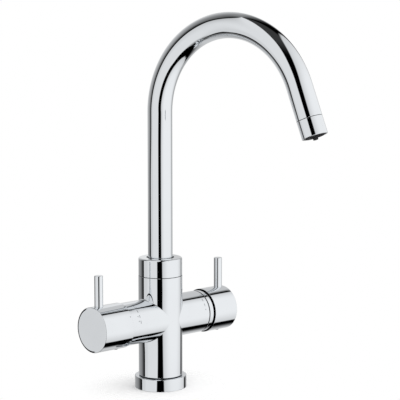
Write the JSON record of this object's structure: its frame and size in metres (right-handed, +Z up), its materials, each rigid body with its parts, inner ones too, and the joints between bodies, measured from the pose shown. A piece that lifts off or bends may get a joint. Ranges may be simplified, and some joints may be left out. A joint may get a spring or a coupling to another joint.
{
  "type": "kitchen mixer tap",
  "caption": "Chromed swan-neck kitchen tap with a cross-shaped body, a lever handle on each arm, a separate filtered-water nozzle in the outlet and a swivelling spout.",
  "frame": {"origin": "centre of the underside of the base ring, on the worktop", "axes": "+Z up along the column, the arms lie along X with the mixer handle at +X and the filtered-water handle at -X, and the user stands at -Y"},
  "size_m": [0.1773, 0.2225, 0.3804],
  "materials": {
    "body_chrome": "polished chrome plate on cast brass",
    "tube_chrome": "polished chrome plate on drawn brass tube",
    "knob_chrome": "polished chrome plate on turned brass",
    "lever_chrome": "polished chrome plate on turned brass pin",
    "inner_brass": "turned brass, unplated",
    "steel": "stainless steel, machined",
    "rubber": "black sealing rubber, matt",
    "black_plastic": "moulded black plastic",
    "white_plastic": "moulded white plastic",
    "ceramic": "ground ceramic, smooth"
  },
  "bodies": {
    "root": {"body_casting": "body_chrome", "base_ring": "body_chrome", "base_seal": "rubber", "inlet_block": "inner_brass", "inlet_seals": "rubber", "spout_collar": "body_chrome", "spout_slide_ring": "black_plastic", "spout_slide_washer": "white_plastic", "spout_stop_screw": "steel", "filter_nipple": "inner_brass", "mixer_housing": "black_plastic", "mixer_port_plate": "white_plastic", "mixer_port_seals": "rubber", "mixer_fixed_disc": "ceramic", "mixer_nut": "inner_brass", "mixer_trim_ring": "body_chrome", "mixer_dome": "black_plastic", "filter_valve_housing": "inner_brass", "filter_valve_seal": "rubber", "filter_fixed_disc": "ceramic", "filter_valve_nut": "inner_brass"},
    "spout": {"spout_tube": "tube_chrome", "spout_foot": "inner_brass", "spout_o_rings": "rubber", "filter_water_tube": "white_plastic", "aerator_housing": "tube_chrome", "aerator_insert": "black_plastic", "aerator_seal": "rubber", "filter_nozzle": "black_plastic"},
    "filter_handle": {"filter_spindle": "inner_brass", "filter_moving_disc": "ceramic", "filter_spindle_seal": "rubber", "filter_knob": "knob_chrome", "filter_lever": "lever_chrome", "filter_set_screw": "steel", "filter_knob_plug": "black_plastic"},
    "mixer_turn": {"mixer_rotor": "black_plastic", "mixer_tilt_pin": "steel"},
    "mixer_handle": {"mixer_stem": "inner_brass", "mixer_knob": "knob_chrome", "mixer_lever": "lever_chrome", "mixer_set_screw": "steel", "mixer_knob_plug": "black_plastic"},
    "mixer_disc": {"mixer_moving_disc": "ceramic", "mixer_disc_driver": "black_plastic"}
  },
  "joints": [
    {"name": "spout_swivel", "type": "hinge", "parent": "root", "child": "spout", "pos_m": [0, 0, 0.0881], "axis": [0, 0, 1], "range_deg": [-118.8, 101.2]},
    {"name": "filter_turn", "type": "hinge", "parent": "root", "child": "filter_handle", "pos_m": [-0.0542, 0, 0.0711], "axis": [1, 0, 0], "range_deg": [-90, 90]},
    {"name": "mixer_turn_temperature", "type": "hinge", "parent": "root", "child": "mixer_turn", "pos_m": [0.047, 0, 0.0711], "axis": [1, 0, 0], "range_deg": [-45, 45]},
    {"name": "mixer_tilt_flow", "type": "hinge", "parent": "mixer_turn", "child": "mixer_handle", "pos_m": [0.047, 0, 0.0711], "axis": [0, 1, 0], "range_deg": [0, 20]},
    {"name": "mixer_disc_slide", "type": "slide", "parent": "mixer_turn", "child": "mixer_disc", "axis": [0, 0, 1], "range_m": [0, 0.00245]}
  ],
  "couplings": [
    {"joint": "mixer_disc_slide", "follows": "mixer_tilt_flow", "m_per_rad": 0.007}
  ]
}
